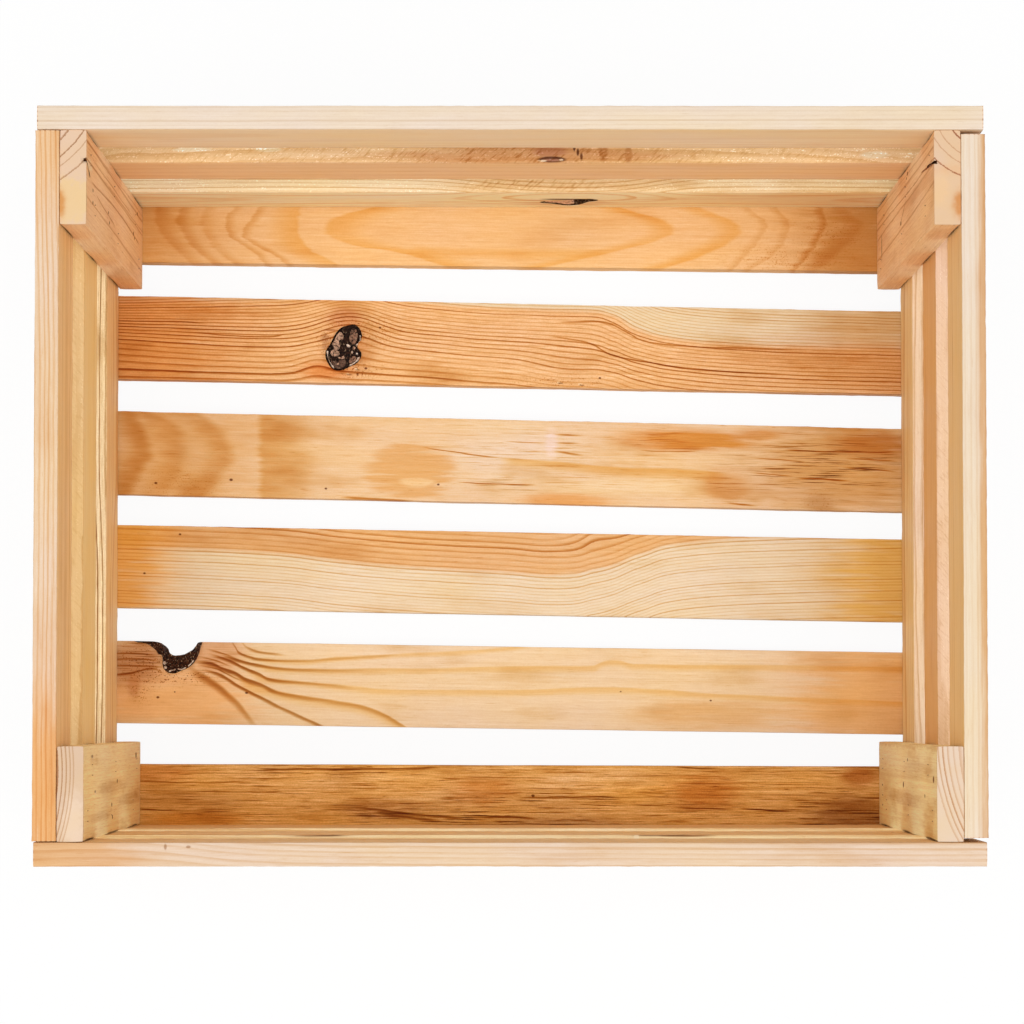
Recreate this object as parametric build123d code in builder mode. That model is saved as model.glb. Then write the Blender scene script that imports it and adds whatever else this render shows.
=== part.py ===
from build123d import *
import math
import os

# Wooden fruit crate, in millimetres. X runs along the long side (+X is the right end), Y runs
# across to the far side, Z is up. The origin is under the middle of the crate, on the ground.

# Overall sizes
crate_length = 500.0  # over the outer faces of the two end walls
crate_width = 400.0  # over the outer faces of the two side walls

# Boards: one stock for all slats, and a second one for the corner posts
slat_width = 51.0
slat_thickness = 13.0
post_width = 50.0  # across the end wall
post_thickness = 14.0  # along the side wall
arris = 0.8  # radius that eases the long edges of every board

# Walls: slats one above the other, from the floor up to the rim
wall_levels = ["bottom", "middle", "top"]
wall_slat_gap = 42.0  # open height between two slats of a wall, a hand's width
post_drop = 1.0  # how far a post's top lies below the rim
side_slat_inset = 1.0  # how far a side slat's ends stop short of the end walls' outer faces
end_slat_clearance = {"left": 0.3, "right": 2.0}  # gap at each end of an end slat

# Floor: as many slats as fit with at least this gap, each fixed a little off true
floor_gap_least = 15.0
floor_lie = [  # shift to the far side, turn of the right end to the near side in degrees, trim of the width
    (0.0, 0.7, 4.8),
    (-1.4, 1.15, 0.0),
    (-2.4, 1.3, 0.0),
    (-0.5, 1.05, 0.5),
    (0.2, 0.85, 1.0),
    (0.0, 0.2, 3.2),
]

# Knot hole that broke out of one floor slat's far edge
knot_slat = 5
knot_from_end = 50.5  # from the slat's left end to the middle of the hole
knot_upper = (11.5, 17.5)  # half width and depth at the slat's upper face
knot_lower = (10.0, 7.5)  # half width and depth at the slat's lower face

# Wire staples, two to a joint
staple_crown = 6.0  # outer width of the crown
staple_wire = 1.2  # side of the square wire
staple_sink = 0.5  # how far the crown is driven below the slat's face
staple_point = 1.5  # length of the chisel point of a leg
staple_bite = 14.0  # how deep side and floor staples reach into the second board
staple_prick = 0.5  # how far end-wall staples come out of the post's inner face
end_staple_edges = (13.0, 17.5)  # from the post's edge and from the slat's edge
side_staple_edge = 8.5  # from the slat's edge
floor_staple_spread = 7.0  # from the slat's middle line

# Worked-out sizes and places
wall_pitch = slat_width + wall_slat_gap
crate_height = slat_thickness + slat_width + (len(wall_levels) - 1) * wall_pitch
inner_x = crate_length / 2 - slat_thickness
inner_y = crate_width / 2 - slat_thickness
long_slat_length = crate_length - 2 * side_slat_inset
post_x = inner_x - post_thickness / 2
post_y = inner_y - post_width / 2
post_height = crate_height - post_drop - slat_thickness
floor_slats = int((crate_width + floor_gap_least) // (slat_width + floor_gap_least))
floor_pitch = (crate_width - slat_width) / (floor_slats - 1)
end_staple_tip = slat_thickness + post_thickness + staple_prick
staple_tip = slat_thickness + staple_bite
end_sides = {"left": -1, "right": 1}
wall_sides = {"far": 1, "near": -1}


def level_height(level):
    """Height of the middle of a wall slat, counted from the bottom slat."""
    return slat_thickness + slat_width / 2 + level * wall_pitch


def staple_plane(place, crown, inward):
    """Plane of a staple's bow: x along the crown, y the way it is driven."""
    return Plane(origin=place, x_dir=crown, z_dir=Vector(*crown).cross(Vector(*inward)))


def bow(plane, top, tip):
    """A staple's bent wire, with its crown from the depth top and its points at the depth tip."""
    half = staple_crown / 2
    inside = half - staple_wire
    heel = tip - staple_point
    under = staple_sink + staple_wire
    with BuildPart() as wire:
        with BuildSketch(plane):
            with BuildLine():
                Polyline(
                    (-half, top),
                    (half, top),
                    (half, tip),
                    (inside, heel),
                    (inside, under),
                    (-inside, under),
                    (-inside, heel),
                    (-half, tip),
                    close=True,
                )
            make_face()
        extrude(amount=staple_wire / 2, both=True)
    return wire.part


def staple_and_hole(plane, tip):
    """A sunk staple, and the hole that it leaves from the face down."""
    return bow(plane, staple_sink, tip), bow(plane, 0, tip)


def board(plane, length, width, thickness, holes):
    """A board on a plane, long way along its x, with eased long edges and its holes."""
    with BuildPart() as piece:
        with BuildSketch(plane):
            Rectangle(length, width)
        extrude(amount=thickness / 2, both=True)
        fillet(piece.edges().filter_by(Axis(plane.origin, plane.x_dir)), radius=arris)
        add(holes, mode=Mode.SUBTRACT)
    return piece.part


def keep(part, name):
    """Label a finished piece and write it under its name."""
    part.label = name
    export_step(part, f"parts/{name}.step")


# Staples and their holes at every joint, by the pieces that they hold together
end_joints = {}
side_joints = {}
for end, end_sign in end_sides.items():
    for wall, wall_sign in wall_sides.items():
        for level, level_name in enumerate(wall_levels):
            end_joints[end, wall, level_name] = []
            side_joints[end, wall, level_name] = []
            for hand in (-1, 1):
                y = wall_sign * (post_y + hand * (post_width / 2 - end_staple_edges[0]))
                z = level_height(level) + hand * (slat_width / 2 - end_staple_edges[1])
                plane = staple_plane((end_sign * crate_length / 2, y, z), (0, 1, 0), (-end_sign, 0, 0))
                end_joints[end, wall, level_name].append(staple_and_hole(plane, end_staple_tip))
                y = wall_sign * crate_width / 2
                z = level_height(level) + hand * (slat_width / 2 - side_staple_edge)
                plane = staple_plane((end_sign * post_x, y, z), (1, 0, 0), (0, -wall_sign, 0))
                side_joints[end, wall, level_name].append(staple_and_hole(plane, staple_tip))

floor_planes = []
floor_widths = []
floor_joints = {}
for number in range(floor_slats):
    shift, turn, trim = floor_lie[number % len(floor_lie)]
    slant = math.radians(turn)
    swing = long_slat_length / 2 * math.sin(slant)
    y = crate_width / 2 - slat_width / 2 - number * floor_pitch + shift
    if number == 0:
        y += trim / 2 - swing  # an outer slat's corner ends level with the side wall's face
    if number == floor_slats - 1:
        y -= trim / 2 - swing
    floor_widths.append(slat_width - trim)
    floor_planes.append(Plane((0, y, slat_thickness / 2)).rotated((0, 0, -turn)))
    for end, end_sign in end_sides.items():
        x = end_sign * (crate_length - slat_thickness) / 2
        middle = y - x * math.tan(slant)
        floor_joints[end, number] = []
        for hand in (-1, 1):
            plane = staple_plane((x, middle + hand * floor_staple_spread, 0), (1, 0, 0), (0, 0, 1))
            floor_joints[end, number].append(staple_and_hole(plane, staple_tip))

os.makedirs("parts", exist_ok=True)

# Corner posts: upright boards that the end slats and the side slats are stapled to
for end, end_sign in end_sides.items():
    for wall, wall_sign in wall_sides.items():
        holes = []
        for level_name in wall_levels:
            joints = end_joints[end, wall, level_name] + side_joints[end, wall, level_name]
            holes += [hole for wire, hole in joints]
        upright = Plane(
            origin=(end_sign * post_x, wall_sign * post_y, slat_thickness + post_height / 2),
            x_dir=(0, 0, 1),
            z_dir=(1, 0, 0),
        )
        keep(board(upright, post_height, post_width, post_thickness, holes), f"{wall}_{end}_post")

# End walls: short slats across the outer faces of the posts, between the side walls
for end, end_sign in end_sides.items():
    length = 2 * (inner_y - end_slat_clearance[end])
    for level, level_name in enumerate(wall_levels):
        joints = end_joints[end, "far", level_name] + end_joints[end, "near", level_name]
        if level == 0:
            for number in range(floor_slats):
                joints = joints + floor_joints[end, number]
        across = Plane(
            origin=(end_sign * (inner_x + slat_thickness / 2), 0, level_height(level)),
            x_dir=(0, 1, 0),
            z_dir=(1, 0, 0),
        )
        holes = [hole for wire, hole in joints]
        keep(board(across, length, slat_width, slat_thickness, holes), f"{end}_{level_name}_slat")

# Side walls: long slats over the edges of the posts and the ends of the end slats
for wall, wall_sign in wall_sides.items():
    for level, level_name in enumerate(wall_levels):
        joints = side_joints["left", wall, level_name] + side_joints["right", wall, level_name]
        along = Plane(
            origin=(0, wall_sign * (inner_y + slat_thickness / 2), level_height(level)),
            x_dir=(1, 0, 0),
            z_dir=(0, -1, 0),
        )
        holes = [hole for wire, hole in joints]
        keep(board(along, long_slat_length, slat_width, slat_thickness, holes), f"{wall}_{level_name}_slat")

# Floor slats: long slats under the posts and the end walls, numbered from the far side
for number, (plane, width) in enumerate(zip(floor_planes, floor_widths)):
    holes = [hole for end in end_sides for wire, hole in floor_joints[end, number]]
    if number + 1 == knot_slat:
        edge = (knot_from_end - long_slat_length / 2, width / 2)
        with BuildPart() as knot_hole:
            with BuildSketch(plane.offset(slat_thickness / 2)):
                with Locations(edge):
                    Ellipse(*knot_upper)
            with BuildSketch(plane.offset(-slat_thickness / 2)):
                with Locations(edge):
                    Ellipse(*knot_lower)
            loft()
        holes.append(knot_hole.part)
    keep(board(plane, long_slat_length, width, slat_thickness, holes), f"floor_slat_{number + 1}")

# Staples, in groups by the wall or the floor end that they hold
staple_groups = {}
for (end, wall, level_name), joints in end_joints.items():
    staple_groups.setdefault(f"{end}_end_staples", []).extend(joints)
for (end, wall, level_name), joints in side_joints.items():
    staple_groups.setdefault(f"{wall}_side_staples", []).extend(joints)
for (end, number), joints in floor_joints.items():
    staple_groups.setdefault(f"{end}_floor_staples", []).extend(joints)
for name, joints in staple_groups.items():
    with BuildPart() as staples:
        add([wire for wire, hole in joints])
    keep(staples.part, name)
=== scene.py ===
import bpy
import math
from mathutils import Euler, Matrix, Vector


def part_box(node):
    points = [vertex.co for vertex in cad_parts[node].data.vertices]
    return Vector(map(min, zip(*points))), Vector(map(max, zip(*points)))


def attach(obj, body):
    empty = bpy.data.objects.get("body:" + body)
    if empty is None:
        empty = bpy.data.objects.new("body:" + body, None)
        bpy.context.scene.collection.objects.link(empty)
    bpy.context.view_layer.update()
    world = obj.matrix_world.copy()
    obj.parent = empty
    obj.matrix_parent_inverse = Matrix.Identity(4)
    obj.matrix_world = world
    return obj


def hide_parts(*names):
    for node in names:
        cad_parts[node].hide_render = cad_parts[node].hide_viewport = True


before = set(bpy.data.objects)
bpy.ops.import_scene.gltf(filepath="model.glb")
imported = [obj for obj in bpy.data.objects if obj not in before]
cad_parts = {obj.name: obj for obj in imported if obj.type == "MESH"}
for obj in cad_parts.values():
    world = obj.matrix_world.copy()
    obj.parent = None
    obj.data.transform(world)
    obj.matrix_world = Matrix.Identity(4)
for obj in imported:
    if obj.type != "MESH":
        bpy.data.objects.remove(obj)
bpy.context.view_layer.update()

# Corner posts: four upright pine boards, sawn to length, that carry the end slats on their wide
# faces and the side slats on their edges. Their sawn tops show the year rings as end grain, and
# the points of the end slats' staples prick through their inner faces.
mm = 0.001
saw_step = 3.0 * mm
face_step = 5.0 * mm
arris = 0.6 * mm
crease = math.radians(40)
saw_waves = {"grain": 45 * mm, "depth": 0.4 * mm}
arris_wear = {"grain": 5 * mm, "depth": 0.5 * mm}
staple_bed = (6.3 * mm, 1.6 * mm, 2.6 * mm)
# A chip's pale patch is partly torn wood and partly painted highlight; its dark brown side is a painted
# shadow.
chip_torn_and_lit = (250, 228, 192)
chip_shadow_colour = (112, 62, 24)
# The dark brown of a prick is painted shade in its small hole.
prick_hole_shade = (96, 36, 4)
honey_tint = (1.02, 0.98, 0.8)
resin_tint = (0.81, 0.44, 0.09)
soot_tint = (0.24, 0.14, 0.06)
stain_and_shade_edge = 0.42
wood_gloss = 0.1


def srgb(red, green, blue):
    """A colour as it is seen on a screen, 0 to 255, made linear."""
    parts = [part / 255 for part in (red, green, blue)]
    return tuple(p / 12.92 if p <= 0.04045 else ((p + 0.055) / 1.055) ** 2.4 for p in parts) + (1.0,)


class Grain:
    """A socket of a wood's node tree, used like a number in an expression."""

    def __init__(self, socket):
        self.socket = socket
        self.tree = socket.id_data

    def node(self, kind, settings, sockets, out=0):
        made = self.tree.nodes.new(kind)
        for name, value in settings.items():
            if name == "curve":
                line = made.mapping.curves[0].points
                line[0].location = value[0]
                line[-1].location = value[-1]
                for x, y in value[1:-1]:
                    line.new(x, y)
                for point in line:
                    point.handle_type = "AUTO_CLAMPED"
                made.mapping.update()
            else:
                setattr(made, name, value)
        for name, value in sockets.items():
            if isinstance(value, Grain):
                self.tree.links.new(value.socket, made.inputs[name])
            else:
                made.inputs[name].default_value = value
        return Grain(made.outputs[out])

    def math(self, operation, *others):
        return self.node("ShaderNodeMath", {"operation": operation}, dict(enumerate([self, *others])))

    def __add__(self, other):
        return self.math("ADD", other)

    def __sub__(self, other):
        return self.math("SUBTRACT", other)

    def __mul__(self, other):
        return self.math("MULTIPLY", other)

    def __truediv__(self, other):
        return self.math("DIVIDE", other)

    def __pow__(self, other):
        return self.math("POWER", other)

    def __rsub__(self, other):
        return self.turned("SUBTRACT", other)

    def __rtruediv__(self, other):
        return self.turned("DIVIDE", other)

    def turned(self, operation, first):
        return self.node("ShaderNodeMath", {"operation": operation}, {0: first, 1: self})

    __radd__ = __add__
    __rmul__ = __mul__

    def rise(self, low, high):
        """0 below low, 1 above high, and smooth between."""
        ends = {"Value": self, "From Min": low, "From Max": high}
        return self.node("ShaderNodeMapRange", {"interpolation_type": "SMOOTHSTEP"}, ends)

    def parts(self):
        split = self.node("ShaderNodeSeparateXYZ", {}, {0: self}).socket.node
        return [Grain(socket) for socket in split.outputs]

    def mixed(self, first, second):
        """The first colour where this is 0, and the second where it is 1."""
        ends = {0: self, 6: first, 7: second}
        return self.node("ShaderNodeMix", {"data_type": "RGBA"}, ends, out=2)

    def times(self, tint, power):
        """This colour, taken through a tinted glass of this power, so that it darkens as wood does."""
        glass = self.node("ShaderNodeVectorMath", {"operation": "POWER"}, {0: tint, 1: power})
        return self.node("ShaderNodeVectorMath", {"operation": "MULTIPLY"}, {0: self, 1: glass})

    def placed(self, centre, reach, turn=(0.0, 0.0, 0.0)):
        """This place, measured from a centre and in units of a reach along each way."""
        ends = {"Vector": self, "Location": centre, "Rotation": turn, "Scale": reach}
        return self.node("ShaderNodeMapping", {"vector_type": "TEXTURE"}, ends)

    def speckle(self, scale, seed, detail=2.0, roughness=0.5):
        """Noise about 0, over this place, stretched by the scale along each way."""
        shift = (17.3 * seed, 9.1 * seed, 5.7 * seed)
        stretched = self.node(
            "ShaderNodeVectorMath", {"operation": "MULTIPLY_ADD"}, {0: self, 1: scale, 2: shift}
        )
        ends = {"Vector": stretched, "Scale": 1.0, "Detail": detail, "Roughness": roughness}
        return self.node("ShaderNodeTexNoise", {}, ends) - 0.5

    def path(self, points):
        """A smooth line through given points of this value and what it gives there."""
        first, last = points[0][0], points[-1][0]
        low = min(y for x, y in points)
        high = max(y for x, y in points)
        if high == low:
            return low
        line = [((x - first) / (last - first), (y - low) / (high - low)) for x, y in points]
        share = (self - first) / (last - first)
        return self.node("ShaderNodeFloatCurve", {"curve": line}, {"Value": share}) * (high - low) + low


def pick_edges(board, wanted):
    """Select just the edges of a board whose run, as a vector, is wanted."""
    bpy.ops.object.mode_set(mode="EDIT")
    bpy.ops.mesh.select_mode(type="EDGE")
    bpy.ops.mesh.select_all(action="DESELECT")
    bpy.ops.object.mode_set(mode="OBJECT")
    corners = board.data.vertices
    for edge in board.data.edges:
        start, end = (corners[corner].co for corner in edge.vertices)
        edge.select = wanted(end - start)
    bpy.ops.object.mode_set(mode="EDIT")


def board_size(node, turn):
    """Middle, length, width and thickness of a board's CAD node, which may lie askew."""
    low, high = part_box(node)
    flat = Euler((turn.x, turn.y, round(turn.z / (math.pi / 2)) * math.pi / 2))
    skew = abs(turn.z - flat.z)
    spread = [abs(part) for part in flat.to_matrix().transposed() @ (high - low)]
    across = math.cos(2 * skew)
    length = (spread[0] * math.cos(skew) - spread[1] * math.sin(skew)) / across
    width = (spread[1] * math.cos(skew) - spread[0] * math.sin(skew)) / across
    return (low + high) / 2, Vector((length, width, spread[2]))


def roughen(piece, name, grain, depth, group=""):
    """Press lumps of a grain size into a piece, or into a group of its corners."""
    lumps = bpy.data.textures.new(name, "CLOUDS")
    lumps.noise_scale = grain
    wave = piece.modifiers.new(name, "DISPLACE")
    wave.texture = lumps
    wave.strength = depth
    wave.mid_level = 0.8
    wave.vertex_group = group
    bpy.ops.object.modifier_apply(modifier=name)


def cut_out(board, tool):
    """Cut a tool's shape out of a board; the cut takes the tool's material, and the tool goes."""
    bpy.context.view_layer.objects.active = board
    cut = board.modifiers.new("cut", "BOOLEAN")
    cut.operation = "DIFFERENCE"
    cut.object = tool
    if tool.data.materials:
        cut.material_mode = "TRANSFER"
    bpy.ops.object.modifier_apply(modifier="cut")
    bpy.data.meshes.remove(tool.data)


def sawn_board(node, turn, staples=()):
    """A board at its node's place, with eased arrises, a sawn waviness and beds for its staples."""
    middle, size = board_size(node, turn)
    bpy.ops.object.select_all(action="DESELECT")
    bpy.ops.mesh.primitive_cube_add(size=1, location=middle, rotation=turn, scale=size)
    board = bpy.context.object
    board.name = board.data.name = node + "_wood"
    bpy.ops.object.transform_apply(location=False, rotation=False, scale=True)
    pick_edges(board, lambda run: abs(run.x) > arris)
    bpy.ops.mesh.bevel(offset=arris, segments=2, affect="EDGES")
    pick_edges(board, lambda run: abs(run.x) > arris)
    bpy.ops.mesh.subdivide(number_cuts=round(size.x / saw_step))
    pick_edges(board, lambda run: abs(run.y) > size.y / 2)
    bpy.ops.mesh.subdivide(number_cuts=round(size.y / face_step))
    pick_edges(board, lambda run: abs(run.z) > size.z / 2)
    bpy.ops.mesh.subdivide(number_cuts=round(size.z / face_step))
    bpy.ops.object.mode_set(mode="OBJECT")
    worn = board.vertex_groups.new(name="arrises")
    for corner in board.data.vertices:
        if abs(corner.co.y) > size.y / 2 - 1.1 * arris and abs(corner.co.z) > size.z / 2 - 1.1 * arris:
            worn.add([corner.index], 1.0, "REPLACE")
    bpy.ops.object.transform_apply(location=True, rotation=True, scale=False)
    roughen(board, "sawn_waviness", **saw_waves)
    roughen(board, "worn_arrises", **arris_wear, group="arrises")
    spin = turn.to_matrix()
    for along, across in staples:
        place = middle + spin @ Vector((along * mm, across * mm, -size.z / 2))
        bpy.ops.mesh.primitive_cube_add(size=1, location=place, rotation=turn)
        bed = bpy.context.object
        bed.scale = staple_bed
        cut_out(board, bed)
    bpy.ops.object.select_all(action="DESELECT")
    board.select_set(True)
    bpy.context.view_layer.objects.active = board
    bpy.ops.object.shade_smooth_by_angle(angle=crease)
    return board


def pine(node, turn, seed, heart, pith, ring=4.0, years=None, late=(0.4, 0.9), line=0.8, bows=(),
         veins=(), arcs=(), gold_veins=(), gold_arcs=(), sap=None, sap_from=None, rim=None,
         end=((228, 198, 168), (160, 106, 70)), stains=(), saws=(), streaks=(), dots=(), soot=(),
         chips=(), pins=(), wander=2.0, blotch=0.3, gold=2.0, dashes=0.3, fibres=0.6, flecks=0.0):
    """Sawn pine: year rings round the pith of the log, which runs past the board as the tree grew.

    Places are in mm from the board's middle: along it, across it and, where a third number stands,
    through it. Colours come in pairs, the palest wood and the darkest. A mark is a place, how far it
    reaches each way, and its share; a ring line is its points, its soft widths and its share. Beside
    real stains, some marks are painted shade and painted highlights; a chip is a pale patch, partly
    torn wood and partly painted highlight, with a painted shadow beside it; a pin is a dark brown dot
    of painted shade in a small hole.
    """
    middle, size = board_size(node, turn)
    half = size / 2 / mm
    material = bpy.data.materials.new(node + "_pine")
    material.use_nodes = True
    tree = material.node_tree
    shader = tree.nodes["Principled BSDF"]
    place = Grain(tree.nodes.new("ShaderNodeTexCoord").outputs["Object"])
    spot = place.placed(middle, (mm, mm, mm), turn)
    along, across, depth = spot.parts()

    def hill(centre, reach):
        """1 at a place in the board, falling to 0 over its reach; through the board if that is flat."""
        off = spot.placed((*centre, half.z)[:3], (*reach, 1000.0)[:3])
        far = off.node("ShaderNodeVectorMath", {"operation": "DOT_PRODUCT"}, {0: off, 1: off}, out=1)
        return (far * -1.0).math("EXPONENT")

    def fall(early, dark):
        """How much of each light the darkest wood keeps of what the palest gives back."""
        return tuple(low / high for low, high in zip(srgb(*dark), srgb(*early)))

    # Fibres and pores of the wood, and the slow and quick waves in how it grew
    fibre = spot.speckle((0.015, 0.9, 0.9), seed + 2, detail=4.0, roughness=0.65)
    pore = spot.speckle((0.11, 1.7, 1.7), seed + 4)
    fuzz = spot.speckle((1.2, 1.2, 1.2), seed + 9)
    slow = spot.speckle((0.006, 0.02, 0.02), seed)
    quick = spot.speckle((0.03, 0.12, 0.12), seed + 1)
    patch = spot.speckle((0.016, 0.05, 0.05), seed + 3, detail=3.0)
    ragged = spot.speckle((0.03, 0.35, 0.35), seed + 5, detail=3.0)
    side = across + slow * wander + quick * (0.5 * wander)
    for at, over, lift, long, wide in bows:
        side = side - hill((at, over), (long, wide)) * lift

    # Year rings: each year's wood darkens from spring on and ends sharply with the winter
    from_pith = (side - along.path([(u, c) for u, c, d in pith])) ** 2
    from_pith = (from_pith + (depth - along.path([(u, d) for u, c, d in pith])) ** 2).math("SQRT")
    if years:
        year = from_pith.path(years)
    else:
        year = from_pith / ring
        drift = {"W": year * 0.4 + seed, "Scale": 1.0}
        year = year + year.node("ShaderNodeTexNoise", {"noise_dimensions": "1D"}, drift)
    year = year + (fibre + pore) * 0.15
    season = year.math("FRACT")
    year = year.math("FLOOR") + 31.0 * seed
    vigour = year.node("ShaderNodeTexWhiteNoise", {"noise_dimensions": "1D"}, {"W": year})
    winter = 1 - season.rise(late[1] + 0.03, 1.0)
    late_wood = season.rise(*late) * winter * (vigour ** 2 * 0.9 + 0.3)
    strength = along.path(line) if isinstance(line, list) else line
    tone = late_wood * strength

    # Ring lines given one by one: veins that run along the board, and arcs that cross it
    def vein(points, below, above, share):
        off = side + ragged * 1.2 - along.path(points)
        first, last = points[0][0], points[-1][0]
        mark = along.rise(first - 4, first + 8) * (1 - along.rise(last - 8, last + 4))
        if isinstance(share, list):
            share = along.path(share)
        return mark * off.rise(-below, 0.0) * (1 - off.rise(0.0, above)) * share

    def arc(points, before, after, share):
        off = along + quick * 3 + (ragged + fibre) * 4.5 - across.path(points)
        return off.rise(-before, 0.0) * (1 - off.rise(0.0, after)) * (patch * 1.4 + 0.9) * share

    for ring_line in veins:
        tone = tone + vein(*ring_line)
    for ring_line in arcs:
        tone = tone + arc(*ring_line)
    on_rim = across.math("ABSOLUTE").rise(half.y - 1.0, half.y - 0.4)
    on_end = along.math("ABSOLUTE").rise(half.x - 0.8, half.x - 0.3)
    tone = tone + patch.rise(0.02, 0.3) * blotch + (fibre + pore * 0.6 + fuzz * 0.4) * fibres
    tone = tone + pore.rise(0.17, 0.27) * dashes
    if flecks:
        tone = tone - on_rim * (fuzz + pore).rise(0.1, 0.3) * flecks

    # The saw's strokes on a rough edge, and streaks of torn or resin-soaked fibre
    slant = spot.placed((0.0, 0.0, 0.0), (6.0, 6.0, 0.9), (0.0, math.radians(40), 0.0))
    stroke = slant.speckle((1.0, 1.0, 1.0), seed + 8).rise(0.0, 0.22)
    for centre, reach, share in saws:
        tone = tone + stroke * hill(centre, reach) * share
    for centre, reach, share in dots:
        tone = tone + (fuzz + pore * 0.4).rise(0.1, 0.2) * hill(centre, reach) * share
    black = 0.0
    if streaks or soot:
        torn = spot.speckle((0.035, 1.3, 1.3), seed + 6, detail=3.0, roughness=0.6)
        for centre, reach, share in streaks:
            tone = tone + torn.rise(0.03, 0.25) * hill(centre, reach) * share
        for centre, reach, share in soot:
            black = torn.rise(0.03, 0.22) * hill(centre, reach) * share + black

    # Palest colour of the heart, the sapwood, the sawn edges and the ends, and how each darkens
    early = srgb(*heart[0])
    tint = fall(*heart)
    if sap:
        outer = (from_pith + slow * 3 + quick * 2 + ragged * 2).rise(sap_from - 2.0, sap_from + 2.0)
        early = outer.mixed(early, srgb(*sap[0]))
        tint = outer.mixed(tint, fall(*sap))
    if rim:
        early = on_rim.mixed(early, srgb(*rim[0]))
        tint = on_rim.mixed(tint, fall(*rim))
    early = on_end.mixed(early, srgb(*end[0]))
    tint = on_end.mixed(tint, fall(*end))
    tone = on_end.math("MULTIPLY_ADD", late_wood - tone, tone)
    chip_light_and_shade = []
    # Chips: a pale patch, partly torn wood and partly painted highlight, and a painted shadow beside it.
    for at, over, reach in chips:
        chip_light_and_shade.append(((at, over), (reach, 0.6 * reach), chip_torn_and_lit, 0.6, 0.35))
        shadow = (at + reach, over - 0.5 * reach)
        chip_light_and_shade.append((shadow, (1.4 * reach, 0.35 * reach), chip_shadow_colour, 0.7, 0.3))
    for centre, reach, colour, share, *edge in [*stains, *chip_light_and_shade]:
        soft = edge[0] if edge else 0.4
        cover = hill(centre, reach) * (ragged * 1.6 + patch * 1.0 + 1.0)
        early = (cover.rise(stain_and_shade_edge - soft, stain_and_shade_edge + soft) * share).mixed(early, srgb(*colour))
    hue = spot.speckle((0.012, 0.04, 0.04), seed + 7, detail=3.0) * gold
    early = early.times(honey_tint, hue)
    glow = 0.0
    for ring_line in gold_veins:
        glow = vein(*ring_line) + glow
    for ring_line in gold_arcs:
        glow = arc(*ring_line) + glow
    if glow:
        early = early.times(resin_tint, glow)
    if black:
        early = early.times(soot_tint, black)
    wood = early.times(tint, tone)
    pit = None
    # Pins: a dark brown dot of painted shade in each small hole that a staple point pricked.
    for at, over, radius in pins:
        off = (along * 0.75 - at * 0.75) ** 2 + (across - over) ** 2
        hole = 1 - off.rise(0.3 * radius ** 2, 1.6 * radius ** 2)
        pit = hole if pit is None else pit.math("MAXIMUM", hole)
    relief = fibre + pore * 0.4 - tone * 0.3 + stroke * on_rim * 0.3
    rough = fibre * 0.3 - tone * 0.06 + 0.62
    if pit is not None:
        wood = (pit * 0.9).mixed(wood, srgb(*prick_hole_shade))
        rough = rough + pit * 0.4
    shader.inputs["Specular IOR Level"].default_value = wood_gloss
    tree.links.new(wood.socket, shader.inputs["Base Color"])
    tree.links.new(rough.socket, shader.inputs["Roughness"])
    bump = relief.node("ShaderNodeBump", {}, {"Strength": 0.35, "Distance": 0.4 * mm, "Height": relief})
    tree.links.new(bump.socket, shader.inputs["Normal"])
    return material


def fix_board(node, turn, slot, staples, **wood):
    """Make a board for a node, give it its wood, and set it on the crate."""
    board = sawn_board(node, turn, staples)
    board.data.materials.append(pine(node, turn, **wood))
    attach(board, "root")
    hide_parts(node)
    return board


right_angle = math.radians(90)
post_turns = {"left": Euler((0, -right_angle, 2 * right_angle)), "right": Euler((0, -right_angle, 0))}
slat_middles = (-92.5, 0.5, 93.5)
joint_edges = {"far_left_post": -25, "far_right_post": 25, "near_left_post": 25, "near_right_post": -25}
# Painted shade of the joints between posts and slats: the reach and colour of each dark band.
seam_shade_reach = (22, 1.2, 1.2)
seam_shade_colour = (66, 32, 12)
half_post = 7
posts = {}


def fix_post(node, stains=(), **wood):
    """A post in its corner, with painted shade along the seams where the slats lie against it."""
    # Painted shade: a thin dark band on the post's edge at each slat, where shade falls in the joint.
    seam_shades = [
        ((height, joint_edges[node] * side, half_post * side), seam_shade_reach, seam_shade_colour, 0.9, 0.3)
        for height in slat_middles for side in (-1, 1)
    ]
    turn = post_turns[node.split("_")[1]]
    posts[node] = fix_board(node, turn, "post_wood", (), stains=[*stains, *seam_shades], **wood)


fix_post(
    "far_left_post", seed=1, heart=((250, 206, 158), (190, 128, 82)), late=(0.82, 0.95), line=0.9,
    dashes=0.5, end=((223, 191, 162), (142, 96, 64)), pith=[(-118, -51, -38), (118, -51, -38)],
    years=[(36, 0), (44.2, 1), (51, 2), (54.9, 3), (61, 4), (64, 4.45), (130, 4.6)],
    veins=[
        ([(-118, -16), (0, -18), (118, -20)], 1.4, 0.7, 0.6), ([(-118, -8), (118, -10)], 1.2, 0.7, 0.5),
        ([(-100, 0), (0, -3), (96, -1)], 1.2, 0.7, 0.8), ([(-118, 15), (0, 12), (118, 10)], 1.6, 0.8, 0.4),
        ([(-60, -12), (90, -14)], 1.0, 0.6, 0.5), ([(10, 7), (80, 3)], 1.0, 0.6, 0.7),
    ],
    pins=[
        (93, 2.6, 1.0), (93, 9.2, 1.1), (32, 4, 0.9), (28, 9, 1.0), (-76, -2.2, 1.2), (-80, 0, 0.9),
        (-94, -17, 1.1),
    ],
    stains=[
        ((118, 12, 0), (4, 13, 12), (228, 194, 144), 0.9, 0.2),
        ((118, 14, -7), (6, 7, 3), (208, 144, 80), 0.9), ((104, -9, 7), (8, 3, 3), (250, 226, 190), 0.9),
    ],
)
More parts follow.
